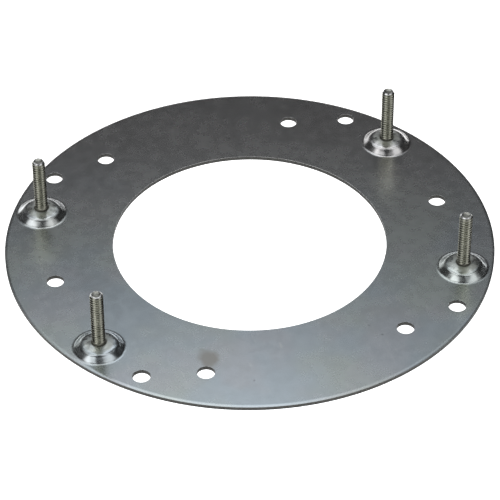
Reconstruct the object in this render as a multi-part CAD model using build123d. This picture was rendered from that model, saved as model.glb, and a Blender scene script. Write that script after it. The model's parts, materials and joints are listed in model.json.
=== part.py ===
from build123d import *
import math
import os

# Motor adapter plate: a flat ring blanked from zinc-plated sheet steel. Bolt holes lie on two
# circles, and four pressed bosses each carry one headed stud. A stud is put in from below, and its
# head stays inside the hollow of its boss, so the underside of the ring is flat.
# Lengths are in millimetres and angles in degrees. The origin is the centre of the ring on its
# underside, +Z is the way the studs point, and +X passes through one of the bolt holes.

# Ring
sheet = 1.52
outer_diameter = 181.6
ring_width = 40.0

# Edge that the blanking die drew down, on the upper face at the rim
rim_roll_width = 1.2
rim_roll_drop = 0.18

# Holes: a land is the flat metal between the rim's rolled edge and the nearest side of a feature
bolt_count = 6
bolt_diameter = 6.4
bolt_land = 11.8
outer_bolt_count = 4
outer_bolt_diameter = 6.4
outer_bolt_land = 2.6

# Studs: a round head, a plain neck that fills the pierced hole, and a thread
thread_diameter = 4.8
stud_length = 23.8
tip_chamfer = 0.6
neck_step = 0.3
neck_proud = 0.2
head_diameter = 9.0
head_thickness = 1.7
head_break = 0.35

# Bosses
neck_clearance = 0.05
head_recess = 0.65
seat_margin = 0.1
shoulder_margin = 2.0
crown_angle = 5.0
wall_angle = 42.0
foot_bend = 1.4
shoulder_bend = 1.3
boss_land = 0.2

# Radii of the ring
rim_radius = outer_diameter / 2
bore_radius = rim_radius - ring_width
flat_radius = rim_radius - rim_roll_width

# Section of a boss: radii from the axis of its stud, heights from the underside of the ring
crown_slope = math.tan(math.radians(crown_angle))
wall_slope = math.tan(math.radians(wall_angle))
head_radius = head_diameter / 2
thread_radius = thread_diameter / 2
neck_radius = thread_radius + neck_step
pierced_radius = neck_radius + neck_clearance
seat_radius = head_radius + seat_margin
shoulder_radius = head_radius + shoulder_margin
seat_height = head_recess + head_thickness
seat_top = seat_height + sheet / math.cos(math.radians(crown_angle))
shoulder_height = seat_top - (shoulder_radius - seat_radius) * crown_slope
crown_height = seat_top + (seat_radius - pierced_radius) * crown_slope
foot_radius = shoulder_radius + (shoulder_height - sheet) / wall_slope
foot_reach = foot_radius + foot_bend * math.tan(math.radians(wall_angle / 2))
boss_reach = foot_reach + boss_land / 2

# Circles that the features stand on
bolt_circle = flat_radius - bolt_land - bolt_diameter / 2
outer_bolt_circle = flat_radius - outer_bolt_land - outer_bolt_diameter / 2
stud_circle = flat_radius - boss_land - foot_reach

# Directions of the features: a stud stands halfway between two bolt holes, on both sides of the X
# axis, and the outer bolt holes stay clear of both axes
bolt_angles = [number * 360 / bolt_count for number in range(bolt_count)]
outer_bolt_angles = [(number + 0.5) * 360 / outer_bolt_count for number in range(outer_bolt_count)]
stud_angle = 180 / bolt_count
stud_angles = [stud_angle, 180 - stud_angle, 180 + stud_angle, 360 - stud_angle]


def spots(radius, angles):
    """Places on a circle about the centre of the ring, one at each angle."""
    return [
        Pos(radius * math.cos(math.radians(angle)), radius * math.sin(math.radians(angle)), 0)
        for angle in angles
    ]


def disc(radius):
    """A round of metal as thick as the sheet, standing on the plane of the ring's underside."""
    return Cylinder(radius, sheet, align=(Align.CENTER, Align.CENTER, Align.MIN))


def lower_face(upper):
    """Corners of the sheet's lower face, one thickness away from the corners of its upper face."""
    steps = [(end - start).normalized() for start, end in zip(upper, upper[1:])]
    sides = [Vector(-step.Y, step.X) for step in steps]
    before = [sides[0]] + sides
    after = sides + [sides[-1]]
    return [
        corner + (one + two) * (sheet / (1 + one.dot(two)))
        for corner, one, two in zip(upper, before, after)
    ]


def bent_line(corners, bends):
    """Draws a line through corners, each rounded by a smooth bend of about the given radius."""
    here = corners[0]
    for before, corner, after, bend in zip(corners, corners[1:], corners[2:], bends):
        arriving = (corner - before).normalized()
        leaving = (after - corner).normalized()
        reach = bend * math.tan(math.acos(arriving.dot(leaving)) / 2)
        Line(here, corner - arriving * reach)
        here = corner + leaving * reach
        Bezier(corner - arriving * reach, corner, here)
    Line(here, corners[-1])


def flat_ring():
    """The blanked ring, with its upper edge drawn down at the rim."""
    rim_flat = Vector(flat_radius, sheet)
    rim_edge = Vector(rim_radius, sheet - rim_roll_drop)
    with BuildSketch(Plane.XZ) as section:
        with BuildLine():
            Bezier(rim_flat, Vector(rim_radius - rim_roll_width / 2, sheet), rim_edge)
            Polyline(rim_edge, (rim_radius, 0), (bore_radius, 0), (bore_radius, sheet), rim_flat)
        make_face()
    return revolve(section.sketch, Axis.Z)


def boss():
    """One pressed boss on its own axis: an even sheet that rises from a soft bend at the foot to a
    rounded shoulder, and then slightly more to the hole pierced for the stud. Its lower face is
    pressed flat around the hole, where the stud's head sits."""
    upper = [
        Vector(boss_reach, sheet),
        Vector(foot_radius, sheet),
        Vector(shoulder_radius, shoulder_height),
        Vector(pierced_radius, crown_height),
    ]
    lower = lower_face(upper)
    seat = [Vector(seat_radius, seat_height), Vector(pierced_radius, seat_height)]
    with BuildSketch(Plane.XZ) as section:
        with BuildLine():
            bent_line(upper, [foot_bend, shoulder_bend])
            Polyline(upper[-1], *reversed(seat), lower[2])
            bent_line(lower[:3], [foot_bend + sheet])
            Line(lower[0], upper[0])
        make_face()
    return revolve(section.sketch, Axis.Z)


def adapter_plate():
    """The ring with its bosses pressed up and its bolt holes punched from above."""
    plate = flat_ring()
    stud_spots = spots(stud_circle, stud_angles)
    plate -= [spot * disc(boss_reach) for spot in stud_spots]
    plate += [spot * boss() for spot in stud_spots]
    plate -= [spot * disc(bolt_diameter / 2) for spot in spots(bolt_circle, bolt_angles)]
    outer_spots = spots(outer_bolt_circle, outer_bolt_angles)
    plate -= [spot * disc(outer_bolt_diameter / 2) for spot in outer_spots]
    return plate


def stud():
    """One headed stud on its own axis, with the plain round form of its thread's crests."""
    tip_height = seat_height + stud_length
    neck_top = crown_height + neck_proud
    with BuildSketch(Plane.XZ) as section:
        with BuildLine():
            Polyline(
                (0, head_recess),
                (head_radius - head_break, head_recess),
                (head_radius, head_recess + head_break),
                (head_radius, seat_height),
                (neck_radius, seat_height),
                (neck_radius, neck_top),
                (thread_radius, neck_top),
                (thread_radius, tip_height - tip_chamfer),
                (thread_radius - tip_chamfer, tip_height),
                (0, tip_height),
                close=True,
            )
        make_face()
    return revolve(section.sketch, Axis.Z)


os.makedirs("parts", exist_ok=True)
export_step(adapter_plate(), "parts/adapter_plate.step")
for number, spot in enumerate(spots(stud_circle, stud_angles), start=1):
    export_step(spot * stud(), f"parts/stud_{number}.step")
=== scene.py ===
import json
import math

import bmesh
import bpy
from mathutils import Matrix, Vector
from mathutils.geometry import tessellate_polygon


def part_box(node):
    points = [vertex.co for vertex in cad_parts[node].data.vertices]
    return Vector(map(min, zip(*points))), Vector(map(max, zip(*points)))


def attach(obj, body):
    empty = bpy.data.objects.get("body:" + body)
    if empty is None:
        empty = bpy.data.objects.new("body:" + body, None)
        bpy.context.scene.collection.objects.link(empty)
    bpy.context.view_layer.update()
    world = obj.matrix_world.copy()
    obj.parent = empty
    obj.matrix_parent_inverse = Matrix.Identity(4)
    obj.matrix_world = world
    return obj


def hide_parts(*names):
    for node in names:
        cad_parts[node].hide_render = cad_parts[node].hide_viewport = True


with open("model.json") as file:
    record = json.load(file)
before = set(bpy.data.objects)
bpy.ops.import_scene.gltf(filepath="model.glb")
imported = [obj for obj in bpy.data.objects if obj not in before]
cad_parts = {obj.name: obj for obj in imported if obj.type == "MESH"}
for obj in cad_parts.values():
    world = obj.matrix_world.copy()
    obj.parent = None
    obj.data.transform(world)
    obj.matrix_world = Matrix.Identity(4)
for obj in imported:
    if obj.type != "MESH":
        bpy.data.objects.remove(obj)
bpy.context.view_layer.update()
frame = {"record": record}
mounts = {mount["name"]: mount for mount in frame["record"]["mounts"]}

# Motor adapter plate: a ring of zinc-plated sheet with four pressed bosses, and a threaded stud
# in each. Lengths are in metres and angles in degrees. The ring's underside lies on the plane of
# X and Y, and its centre is the origin.

# View of the photograph: only the lens and the sensor are in millimetres
camera_azimuth = -18.0
camera_elevation = 39.6
camera_roll = -0.32
camera_distance = 0.9459
aim_right = 0.0001
aim_away = -0.0059
lens = 184.15
sensor_width = 36
nearest_seen = 0.01
farthest_seen = 100

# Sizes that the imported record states
sheet = mounts["bolt_holes"]["pos_m"][2]
bore_radius = mounts["centre_opening"]["dims"]["r_mm"] / 1000
thread_radius = mounts["studs"]["dims"]["stud_r_mm"] / 1000
stud_x = mounts["studs"]["dims"]["spacing_x_mm"] / 2000
stud_y = mounts["studs"]["dims"]["spacing_y_mm"] / 2000

# Width worn off sharp edges
edge_wear = 0.00006

# Studs: the sizes of their solids, with the thread cut into the bar
seat_height = 0.00235
neck_radius = 0.0027
neck_top = 0.004238
head_break = 0.00035
tip_chamfer = 0.0006
thread_pitch = 0.001058
thread_depth = 0.00062

# One pitch of the thread: share of the pitch along the stud, and share of the depth there
thread_form = [
    (0.0, 0.08), (0.03, 0.0), (0.095, 0.0), (0.125, 0.08),
    (0.46, 0.93), (0.5, 1.0), (0.625, 1.0), (0.665, 0.93), (1.0, 0.08),
]

# Depth to which the thread runs into the neck, and how far each stud's thread is turned from the
# one before it, as a share of a full turn
thread_sink = 0.0001
thread_turn = 0.29

# The stud's end is hollow inside a narrow rim: width and dip of each step towards the axis
cup_steps = [(0.00018, 0), (0.0004, 0.0002), (0.0005, 0.00012)]

# Plate: nearly the section of its solid, with worn edges and rounder tops on the bosses. Radii
# of a boss are from the axis of its stud, and the shoulder is a radius and a height.
rim_roll_width = 0.0012
rim_roll_drop = 0.00018
pierced_radius = 0.00275
seat_radius = 0.0046
shoulder = (0.00664, 0.0035796)
crown_height = 0.0041677
foot_radius = 0.0089318
boss_reach = 0.0095692
foot_bend = 0.0014
shoulder_bend = 0.003

# Fineness of the meshes: sides of circles, and steps along a bend
rim_sides = 360
bore_sides = 256
boss_sides = 128
hole_sides = 64
thread_sides = 64
bend_steps = 10
rim_roll_steps = 8
chamfer_steps = 4

# Points that are nearer to each other than the first value are one point, a cut goes through a
# point that is nearer to it than the second, and an edge is at the tip if it is within the third
merge_distance = 1e-7
cut_distance = 1e-8
tip_distance = 1e-6

# A face is level if the upright part of its normal is above the first value, and an edge is drawn
# sharp if its faces meet at more than the second
level_normal = 0.99999
crease_angle = 32

# Brown-grey deposit on the plate, beside one of the bolt holes: its middle and half its widths
deposit_middle = (-0.0342, -0.0578)
deposit_widths = (0.0040, 0.0056)

# Marks round a stud, among them painted highlight and painted shade: distances from its axis at
# which each starts to show and is full
boss_band = (0.0100, 0.0085)
top_band = (0.0062, 0.0044)
# Ring of painted shade round the stud
painted_shade_band = (0.0036, 0.0031)
crest_band = (thread_radius - 0.00022, thread_radius - 0.00002)
root_band = (thread_radius - 0.0004, thread_radius - thread_depth)
cup_band = (0.0018, 0.0015)
rim_band = (0.0014, 0.0018)

# Panels of the room that the metal reflects: middle azimuth, half width, middle elevation and half
# height, and brightness. The azimuth is to the right of the camera's line of sight.
panels = [
    # Behind the camera
    (-130, 28, 44, 12, 2.1),
    (128, 28, 44, 12, 1.35),
    (180, 22, 32, 12, 1.2),
    (180, 95, 10, 14, 0.5),
    # High up
    (-92, 30, 68, 14, 1.2),
    (95, 30, 68, 14, 1.0),
    (0, 110, 80, 12, 0.85),
    (0, 30, 66, 6, 1.5),
    # On the far side
    (-36, 10, 24, 10, 0.2),
    (-8, 31, 3, 7, 1.8),
    (0, 70, 34, 26, 0.02),
    # Low at both sides
    (84, 26, 10, 12, 0.1),
    (-84, 26, 10, 12, 0.1),
]

# Width over which a panel fades out, and brightness of the rest of the room
panel_edge = 16
room_brightness = 0.01

# Lamps above the far side: azimuth, elevation and brightness
lamps = [
    (-30, 62, 0.52),
    (-12, 54, 0.1),
    (6, 56, 0.45),
]
lamp_distance = 0.6
lamp_width = 0.5
lamp_height = 0.24
lamp_color = (0.96, 1.0, 1.03)

# Floor: it lies just below the plate, so that the two faces don't meet
floor_size = 6
floor_gap = 0.0002
floor_color = (0.9, 0.9, 0.9, 1)
floor_roughness = 0.9
floor_brightness = 1.2


def from_photo(azimuth, elevation):
    """Unit vector at an angle to the right of the camera's line of sight and above the horizon."""
    turn = math.radians(90 + camera_azimuth - azimuth)
    rise = math.radians(elevation)
    return Vector((
        math.cos(turn) * math.cos(rise),
        math.sin(turn) * math.cos(rise),
        math.sin(rise),
    ))


class Nodes:
    """Makes the nodes of one material or of the world."""

    def __init__(self, owner):
        owner.use_nodes = True
        self.tree = owner.node_tree
        self.tree.nodes.clear()

    def put(self, value, socket):
        """Links a socket's value to another socket, or sets it there."""
        if isinstance(value, bpy.types.NodeSocket):
            self.tree.links.new(value, socket)
        else:
            socket.default_value = value

    def add(self, kind, inputs, **settings):
        """A node with its settings, and its inputs linked or set."""
        node = self.tree.nodes.new("ShaderNode" + kind)
        for name, value in settings.items():
            setattr(node, name, value)
        for name, value in inputs.items():
            self.put(value, node.inputs[name])
        return node

    def math(self, operation, one, other=0.0):
        return self.add("Math", {0: one, 1: other}, operation=operation).outputs[0]

    def plus(self, one, other):
        return self.math("ADD", one, other)

    def times(self, one, other):
        return self.math("MULTIPLY", one, other)

    def vector(self, operation, one, other=(0, 0, 0)):
        """Works on vectors, and gives a number for a length or a dot product."""
        node = self.add("VectorMath", {0: one, 1: other}, operation=operation)
        return node.outputs["Value" if operation in ("LENGTH", "DOT_PRODUCT") else "Vector"]

    def upright(self, vector):
        """The part of a vector along the Z axis."""
        return self.add("SeparateXYZ", {0: vector}).outputs[2]

    def remap(self, value, low, high, to_low=0.0, to_high=1.0):
        """Goes smoothly from one number to another as the value goes from low to high."""
        inputs = {"Value": value, "From Min": low, "From Max": high}
        inputs.update({"To Min": to_low, "To Max": to_high})
        return self.add("MapRange", inputs, interpolation_type="SMOOTHSTEP").outputs["Result"]

    def noise(self, place, scale, detail=2.0):
        """Cloudy values between 0 and 1, with smaller clouds at a larger scale."""
        inputs = {"Vector": place, "Scale": scale, "Detail": detail}
        return self.add("TexNoise", inputs).outputs[0]

    def moved(self, place, shift=(0, 0, 0), stretch=(1, 1, 1)):
        """A place times the stretch, plus the shift."""
        inputs = {"Vector": place, "Location": shift, "Scale": stretch}
        return self.add("Mapping", inputs).outputs[0]

    def blend(self, share, color, other):
        """Mixes two colours, each a socket or three numbers."""
        mix = self.add("Mix", {"Factor": share}, data_type="RGBA")
        for socket, value in ((mix.inputs[6], color), (mix.inputs[7], other)):
            self.put((*value, 1) if isinstance(value, tuple) else value, socket)
        return mix.outputs[2]

    def bump(self, height, depth, normal=None):
        """Tilts the surface by a height between 0 and 1, times a depth in metres."""
        inputs = {"Height": height, "Distance": depth}
        if normal is not None:
            inputs["Normal"] = normal
        return self.add("Bump", inputs).outputs[0]

    def from_stud(self, place):
        """Distance from the upright axis of the nearest stud."""
        quarter = self.vector("ABSOLUTE", place)
        offset = self.vector("SUBTRACT", quarter, (stud_x, stud_y, 0))
        return self.vector("LENGTH", self.vector("MULTIPLY", offset, (1, 1, 0)))

    def painted(self, color, marks):
        """Lays marks over a colour: where each is, how much it covers, and its own colour."""
        for where, strength, tint in marks:
            color = self.blend(self.times(where, strength), color, tint)
        return color

    def roughened(self, roughness, changes):
        """Adds changes to a roughness: where each is, and how large it is."""
        for where, change in changes:
            roughness = self.plus(roughness, self.times(where, change))
        return roughness

    def metal(self, color, roughness, normal):
        """Ends a material: bare metal with this colour, roughness and tilt."""
        shader = self.add("BsdfPrincipled", {
            "Base Color": color,
            "Metallic": 1.0,
            "Roughness": roughness,
            "Normal": normal,
        })
        self.add("OutputMaterial", {"Surface": shader.outputs[0]})


def zinc_sheet():
    """Bright zinc plating: clouded, with specks, streaks, one deposit and dull sheared edges; the
    edges are painted near black, partly as painted shade, the boss tops are painted paler as a
    painted highlight, and a ring of painted shade lies round each stud.
    """
    material = bpy.data.materials.new("zinc_sheet")
    nodes = Nodes(material)
    place = nodes.add("TexCoord", {}).outputs["Object"]
    cloud = nodes.noise(place, 24, 3)
    other_cloud = nodes.noise(nodes.moved(place, (0.3, 0.1, 0)), 38, 3)
    mottle = nodes.noise(place, 260, 3)

    # The plating turns from blue and green to neutral towards the far side
    color = nodes.blend(nodes.remap(cloud, 0.38, 0.62), (0.54, 0.60, 0.645), (0.57, 0.615, 0.60))
    color = nodes.blend(nodes.remap(other_cloud, 0.48, 0.66, 0, 0.5), color, (0.59, 0.59, 0.62))
    far = nodes.vector("DOT_PRODUCT", place, from_photo(0, 0))
    color = nodes.blend(nodes.remap(far, -0.03, 0.07), color, (0.61, 0.60, 0.60))
    shade = nodes.remap(mottle, 0.3, 0.7, 0.96, 1.03)
    grey = nodes.add("CombineXYZ", {0: shade, 1: shade, 2: shade}).outputs[0]
    color = nodes.vector("MULTIPLY", color, grey)

    # Specks: small dots, in some of the cells only
    cell = nodes.add("TexVoronoi", {"Vector": place, "Scale": 150}).outputs["Distance"]
    chosen = nodes.remap(nodes.noise(place, 90, 1), 0.55, 0.6)
    speck = nodes.times(nodes.remap(cell, 0.10, 0.05), chosen)

    # Short rubbed streaks
    streak = nodes.noise(nodes.moved(place, stretch=(900, 140, 400)), 1)
    rubbed = nodes.times(nodes.remap(streak, 0.66, 0.72), nodes.remap(other_cloud, 0.5, 0.56))

    # The deposit has an uneven edge, and lies on the upper face only
    x, y = deposit_middle
    half_x, half_y = deposit_widths
    spot = nodes.moved(place, (-x / half_x, -y / half_y, 0), (1 / half_x, 1 / half_y, 0))
    uneven = nodes.remap(nodes.noise(place, 300), 0.3, 0.7, -0.15, 0.15)
    within = nodes.remap(nodes.plus(nodes.vector("LENGTH", spot), uneven), 1.2, 0.5)
    deposit = nodes.times(within, nodes.remap(nodes.upright(place), sheet * 0.8, sheet))

    # Sheared edges: dull, with fine upright lines, and painted near black: partly the dull steel's
    # own colour, partly painted shade on the walls of the rim and the holes
    tilt = nodes.upright(nodes.add("NewGeometry", {}).outputs["True Normal"])
    edge = nodes.remap(nodes.math("ABSOLUTE", tilt), 0.45, 0.2)
    torn = nodes.noise(nodes.moved(place, stretch=(1, 1, 0.12)), 1800)
    dull_and_shaded_edge_color = nodes.blend(torn, (0.03, 0.03, 0.028), (0.11, 0.11, 0.105))

    # The bosses have stained tops, painted paler as a painted highlight, and a ring of painted
    # shade where a stud stands in its hole
    beside = nodes.from_stud(place)
    boss = nodes.remap(beside, *boss_band)
    top = nodes.remap(beside, *top_band)
    stain = nodes.times(top, nodes.remap(nodes.noise(place, 330, 3), 0.40, 0.62))
    # Ring of painted shade where the stud stands in its hole
    painted_shade_ring = nodes.remap(nodes.plus(beside, nodes.times(mottle, 0.0006)), *painted_shade_band)
    color = nodes.painted(color, [
        (speck, 0.45, (0.2, 0.2, 0.21)),
        (rubbed, 0.35, (0.72, 0.74, 0.74)),
        (deposit, 0.65, (0.37, 0.345, 0.305)),
        # Near-black edges: partly their dull steel, partly painted shade
        (edge, 1, dull_and_shaded_edge_color),
        # Paler boss tops: a painted highlight
        (top, 0.6, (0.80, 0.83, 0.79)),
        (stain, 0.45, (0.40, 0.40, 0.34)),
        # Dark ring round the stud: painted shade
        (painted_shade_ring, 0.5, (0.14, 0.14, 0.12)),
    ])

    # The press has burnished the bosses, apart from their tops
    roughness = nodes.roughened(nodes.remap(cloud, 0.3, 0.7, 0.255, 0.27), [
        (boss, -0.035),
        (nodes.remap(mottle, 0.3, 0.7), 0.015),
        (painted_shade_ring, 0.1),
        (top, nodes.remap(nodes.noise(place, 420), 0.38, 0.6, 0.03, 0.2)),
        (edge, 0.3),
        (deposit, 0.12),
    ])

    # Slight waves in the pressed bosses, a fine grain everywhere, and lines on the sheared edges
    waves = nodes.times(nodes.noise(nodes.moved(place, (0, 0, 0.3)), 230, 1), boss)
    normal = nodes.bump(waves, 0.0003)
    normal = nodes.bump(nodes.noise(place, 1300), 0.0000002, normal)
    normal = nodes.bump(nodes.times(torn, edge), 0.00004, normal)
    nodes.metal(color, roughness, normal)
    return material


def stud_steel():
    """Warm grey steel: painted darker in the roots of the thread as painted shade, rubbed brighter
    on its crests, with painted shade on the neck and a painted highlight on the hollow end.
    """
    material = bpy.data.materials.new("stud_steel")
    nodes = Nodes(material)
    place = nodes.add("TexCoord", {}).outputs["Object"]
    radius = nodes.from_stud(place)
    height = nodes.upright(place)
    tip = max(corner.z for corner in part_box("stud_1"))
    stain = nodes.noise(place, 420, 3)

    # The crests of the thread, and its roots between the neck and the tip, which get painted shade
    crest = nodes.remap(radius, *crest_band)
    above_neck = nodes.remap(height, neck_top - 0.0001, neck_top + 0.0002)
    root = nodes.times(nodes.remap(radius, *root_band), above_neck)
    root = nodes.times(root, nodes.remap(height, tip - 0.0001, tip - 0.0003))

    # The hollow end and its rim, painted paler as a painted highlight
    at_tip = nodes.remap(height, tip - 0.0006, tip - 0.0003)
    cup = nodes.times(nodes.remap(radius, *cup_band), at_tip)
    rim = nodes.times(nodes.remap(radius, *rim_band), at_tip)

    # The neck, where it stands in the pierced hole, painted nearly black as painted shade
    below_thread = nodes.remap(height, neck_top + 0.0008, neck_top + 0.0002)
    neck = nodes.times(below_thread, nodes.remap(height, seat_height, seat_height + 0.0004))

    color = nodes.blend(nodes.remap(stain, 0.35, 0.65), (0.33, 0.335, 0.275), (0.40, 0.405, 0.34))
    color = nodes.painted(color, [
        (crest, 0.5, (0.50, 0.49, 0.44)),
        # Thread roots: painted shade
        (root, 0.25, (0.12, 0.115, 0.09)),
        # Hollow end and its rim: a painted highlight
        (cup, 0.6, (0.5, 0.5, 0.48)),
        (rim, 0.9, (0.72, 0.73, 0.75)),
        # Neck: painted shade
        (neck, 0.75, (0.06, 0.06, 0.05)),
    ])
    roughness = nodes.remap(stain, 0.3, 0.7, 0.22, 0.3)
    roughness = nodes.roughened(roughness, [(root, 0.15), (neck, 0.3)])
    normal = nodes.bump(nodes.noise(place, 2400, 3), 0.00001)
    nodes.metal(color, roughness, normal)
    return material


def circle(radius, height, sides, middle=(0, 0)):
    """Points of a level circle."""
    x, y = middle
    points = []
    for side in range(sides):
        turn = 2 * math.pi * side / sides
        points.append(Vector((x + radius * math.cos(turn), y + radius * math.sin(turn), height)))
    return points


def on_circle(radius, count, start):
    """Places on a circle about the centre of the ring, the first at an angle from the X axis."""
    turns = [math.radians(start + 360 * number / count) for number in range(count)]
    return [(radius * math.cos(turn), radius * math.sin(turn)) for turn in turns]


def add_lathe(mesh, profile, sides, middle=(0, 0)):
    """Turns a line of radius and height about an upright axis."""
    rings = []
    for radius, height in profile:
        if radius == 0:
            rings.append([mesh.verts.new((*middle, height))] * sides)
            continue
        rings.append([mesh.verts.new(point) for point in circle(radius, height, sides, middle)])
    for lower, upper in zip(rings, rings[1:]):
        for side in range(sides):
            after = (side + 1) % sides
            corners = [lower[side], lower[after], upper[after], upper[side]]
            mesh.faces.new(dict.fromkeys(corners))


def add_flat(mesh, loops):
    """Fills the level face between an outer loop of points and the loops inside it."""
    points = [mesh.verts.new(point) for loop in loops for point in loop]
    for corners in tessellate_polygon(loops):
        mesh.faces.new([points[corner] for corner in corners])


def bend(start, corner, end, steps):
    """Points along a smooth bend."""
    shares = [step / steps for step in range(steps + 1)]
    return [start.lerp(corner, share).lerp(corner.lerp(end, share), share) for share in shares]


def bent_line(corners, radii):
    """Points along a line through corners, each rounded by a bend of about the given radius."""
    line = [corners[0]]
    for before, corner, after, radius in zip(corners, corners[1:], corners[2:], radii):
        arriving = (corner - before).normalized()
        leaving = (after - corner).normalized()
        reach = radius * math.tan(math.acos(arriving.dot(leaving)) / 2)
        line += bend(corner - arriving * reach, corner, corner + leaving * reach, bend_steps)
    return line + [corners[-1]]


def lower_face(upper):
    """Corners of the sheet's lower face, one thickness away from the corners of its upper face."""
    steps = [(end - start).normalized() for start, end in zip(upper, upper[1:])]
    sides = [Vector((-step.y, step.x)) for step in steps]
    pairs = zip(upper, sides[:1] + sides, sides + sides[-1:])
    return [corner + (one + two) * (sheet / (1 + one.dot(two))) for corner, one, two in pairs]


def rim_section(rim):
    """The plate's rim: an upper edge that the blanking die drew down, and the wall below it."""
    flat = Vector((rim - rim_roll_width, sheet))
    corner = Vector((rim - rim_roll_width / 2, sheet))
    edge = Vector((rim, sheet - rim_roll_drop))
    return bend(flat, corner, edge, rim_roll_steps) + [(rim, 0)]


def hole_section(radius):
    """The wall of a punched hole, with a worn upper edge."""
    return [
        (radius + edge_wear, sheet),
        (radius + edge_wear / 3, sheet - edge_wear / 3),
        (radius, sheet - edge_wear),
        (radius, 0),
    ]


def boss_section():
    """The boss's upper face from the flat sheet inwards, its pierced hole and its lower face."""
    upper = [
        Vector((boss_reach, sheet)),
        Vector((foot_radius, sheet)),
        Vector(shoulder),
        Vector((pierced_radius, crown_height)),
    ]
    hole = [
        Vector((pierced_radius + edge_wear / 3, crown_height - edge_wear / 3)),
        Vector((pierced_radius, crown_height - edge_wear)),
        Vector((pierced_radius, seat_height)),
        Vector((seat_radius, seat_height)),
    ]
    top = bent_line(upper, [foot_bend, shoulder_bend])
    under = bent_line(lower_face(upper)[:3], [foot_bend + sheet])
    top[-1].x += edge_wear
    return top + hole + under[::-1]


def sheet_plate(material):
    """The plate, in the place of its solid."""
    low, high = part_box("adapter_plate")
    rim = min(-low.x, high.x, -low.y, high.y)
    studs = [(x * stud_x, y * stud_y) for x in (-1, 1) for y in (-1, 1)]
    holes = []
    for name, start in (("bolt_holes", 0), ("outer_bolt_holes", 45)):
        pattern = mounts[name]["dims"]
        for middle in on_circle(pattern["pcd_mm"] / 2000, pattern["count"], start):
            holes.append((middle, pattern["hole_r_mm"] / 1000))
    mesh = bmesh.new()
    add_lathe(mesh, rim_section(rim), rim_sides)
    add_lathe(mesh, hole_section(bore_radius), bore_sides)
    for middle, radius in holes:
        add_lathe(mesh, hole_section(radius), hole_sides, middle)
    for middle in studs:
        add_lathe(mesh, boss_section(), boss_sides, middle)
    for height, outer, wear in ((sheet, rim - rim_roll_width, edge_wear), (0, rim, 0)):
        loops = [circle(outer, height, rim_sides), circle(bore_radius + wear, height, bore_sides)]
        loops += [circle(radius + wear, height, hole_sides, middle) for middle, radius in holes]
        loops += [circle(boss_reach, height, boss_sides, middle) for middle in studs]
        add_flat(mesh, loops)
    bmesh.ops.remove_doubles(mesh, verts=mesh.verts, dist=merge_distance)
    finish_piece("sheet_plate", mesh, material, "adapter_plate")


def add_thread(mesh, tip, start_turn):
    """The helical surface of a thread, from below the neck's top to above the tip."""
    turns = math.ceil((tip - neck_top) / thread_pitch) + 2
    columns = []
    for step in range(turns * thread_sides + 1):
        turn = 2 * math.pi * (step / thread_sides + start_turn)
        column = []
        for share, depth in thread_form:
            height = neck_top + thread_pitch * (step / thread_sides + share - 1)
            fade = min(1, max(0, (height - neck_top) / thread_pitch))
            radius = thread_radius - thread_depth * depth * fade
            point = (radius * math.cos(turn), radius * math.sin(turn), height)
            column.append(mesh.verts.new(point))
        columns.append(column)
    for column, after in zip(columns, columns[1:]):
        for number in range(len(thread_form) - 1):
            mesh.faces.new((column[number], after[number], after[number + 1], column[number + 1]))
    bmesh.ops.remove_doubles(mesh, verts=mesh.verts, dist=merge_distance)


def end_thread(mesh, tip):
    """Cuts the thread off at its two ends, and gives the upper one its chamfer and its hollow."""
    cuts = [(neck_top - thread_sink, False, True), (tip, True, False)]
    for step in range(1, chamfer_steps + 1):
        cuts.append((tip - tip_chamfer * step / chamfer_steps, False, False))
    for height, above, below in cuts:
        bmesh.ops.bisect_plane(
            mesh,
            geom=[*mesh.verts, *mesh.edges, *mesh.faces],
            dist=cut_distance,
            plane_co=(0, 0, height),
            plane_no=(0, 0, 1),
            clear_outer=above,
            clear_inner=below,
        )
    for vertex in mesh.verts:
        radius = vertex.co.xy.length
        limit = thread_radius - max(0, vertex.co.z - (tip - tip_chamfer))
        if radius > limit:
            vertex.co.xy *= limit / radius
    open_edges = [edge for edge in mesh.edges if edge.is_boundary]
    rim = [edge for edge in open_edges if edge.verts[0].co.z > tip - tip_distance]
    end = bmesh.ops.holes_fill(mesh, edges=rim, sides=0)["faces"]
    for width, dip in cup_steps:
        bmesh.ops.inset_region(mesh, faces=end, thickness=width, depth=-dip)


def threaded_stud(name, node, start_turn, material):
    """A headed stud with its thread, in the place of its solid."""
    low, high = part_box(node)
    head_radius = (high.x - low.x) / 2
    mesh = bmesh.new()
    add_thread(mesh, high.z, start_turn)
    end_thread(mesh, high.z)
    add_lathe(mesh, [
        (0, low.z),
        (head_radius - head_break, low.z),
        (head_radius, low.z + head_break),
        (head_radius, seat_height - edge_wear),
        (head_radius - edge_wear, seat_height),
        (neck_radius, seat_height),
        (neck_radius, neck_top - edge_wear),
        (neck_radius - edge_wear, neck_top),
        (0, neck_top),
    ], thread_sides)
    middle = ((low.x + high.x) / 2, (low.y + high.y) / 2, 0)
    bmesh.ops.translate(mesh, verts=mesh.verts, vec=middle)
    finish_piece(name, mesh, material, node)


def finish_piece(name, mesh, material, node):
    """Makes a mesh into a piece that stands for a node."""
    bmesh.ops.recalc_face_normals(mesh, faces=mesh.faces)
    data = bpy.data.meshes.new(name)
    mesh.to_mesh(data)
    mesh.free()
    data.set_sharp_from_angle(angle=math.radians(crease_angle))
    for face in data.polygons:
        face.use_smooth = abs(face.normal.z) < level_normal
    data.materials.append(material)
    piece = bpy.data.objects.new(name, data)
    bpy.context.scene.collection.objects.link(piece)
    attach(piece, "root")
    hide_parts(node)


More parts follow.
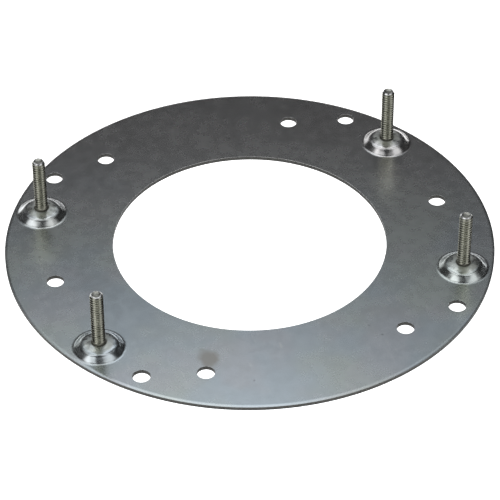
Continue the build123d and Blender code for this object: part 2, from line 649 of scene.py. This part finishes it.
def make_camera():
    """A camera at the photograph's viewing angle."""
    away = from_photo(0, 0)
    right = from_photo(90, 0)
    back = -from_photo(0, -camera_elevation)
    aim = right * aim_right + away * aim_away + Vector((0, 0, sheet))
    camera = bpy.data.objects.new("camera", bpy.data.cameras.new("camera"))
    bpy.context.scene.collection.objects.link(camera)
    camera.data.lens = lens
    camera.data.sensor_width = sensor_width
    camera.data.clip_start = nearest_seen
    camera.data.clip_end = farthest_seen
    look = (-back).to_track_quat("-Z", "Y").to_matrix().to_4x4()
    roll = Matrix.Rotation(math.radians(camera_roll), 4, "Z")
    camera.matrix_world = Matrix.Translation(aim + back * camera_distance) @ look @ roll
    bpy.context.scene.camera = camera


def make_floor():
    """A plain pale floor, bright enough to be white in the picture."""
    bpy.ops.mesh.primitive_plane_add(size=floor_size, location=(0, 0, -floor_gap))
    floor = bpy.context.object
    floor.name = "floor"
    material = bpy.data.materials.new("floor")
    nodes = Nodes(material)
    shader = nodes.add("BsdfPrincipled", {
        "Base Color": floor_color,
        "Roughness": floor_roughness,
        "Emission Color": (1, 1, 1, 1),
        "Emission Strength": floor_brightness,
    })
    nodes.add("OutputMaterial", {"Surface": shader.outputs[0]})
    floor.data.materials.append(material)


def make_lamp(azimuth, elevation, brightness):
    """A soft rectangular lamp that faces the ring."""
    name = f"lamp_{azimuth}"
    light = bpy.data.lights.new(name, "AREA")
    light.shape = "RECTANGLE"
    light.size = lamp_width
    light.size_y = lamp_height
    light.energy = brightness * math.pi * lamp_width * lamp_height
    light.color = lamp_color
    lamp = bpy.data.objects.new(name, light)
    direction = from_photo(azimuth, elevation)
    lamp.location = direction * lamp_distance
    lamp.rotation_euler = direction.to_track_quat("Z", "Y").to_euler()
    lamp.visible_camera = False
    bpy.context.scene.collection.objects.link(lamp)


def make_world():
    """A dim room over a pale floor, with soft bright panels that the metal reflects."""
    world = bpy.data.worlds.new("world")
    nodes = Nodes(world)
    direction = nodes.add("TexCoord", {}).outputs["Generated"]

    def along(axis):
        return nodes.vector("DOT_PRODUCT", direction, axis)

    def degrees(operation, *values):
        return nodes.times(nodes.math(operation, *values), math.degrees(1))

    def faded(distance, half_width, brightness=1.0):
        start = half_width + panel_edge / 2
        return nodes.remap(distance, start, start - panel_edge, 0, brightness)

    azimuth = degrees("ARCTAN2", along(from_photo(90, 0)), along(from_photo(0, 0)))
    elevation = degrees("ARCSINE", along((0, 0, 1)))
    total = nodes.remap(elevation, 1, -1, room_brightness, floor_brightness)
    for across, half_width, up, half_height, brightness in panels:
        aside = nodes.math("PINGPONG", nodes.math("SUBTRACT", azimuth, across), 180)
        above = nodes.math("ABSOLUTE", nodes.math("SUBTRACT", elevation, up))
        panel = nodes.times(faded(aside, half_width, brightness), faded(above, half_height))
        total = nodes.plus(panel, total)

    # The camera itself sees a white background
    seen = nodes.add("LightPath", {}).outputs["Is Camera Ray"]
    background = nodes.add("Background", {"Strength": nodes.math("MAXIMUM", total, seen)})
    nodes.add("OutputWorld", {"Surface": background.outputs[0]})
    bpy.context.scene.world = world
    bpy.context.scene.view_settings.view_transform = "Standard"


make_camera()
make_floor()
make_world()
for lamp in lamps:
    make_lamp(*lamp)

sheet_plate(zinc_sheet())
steel = stud_steel()
for number in range(1, 5):
    threaded_stud(f"threaded_stud_{number}", f"stud_{number}", number * thread_turn, steel)
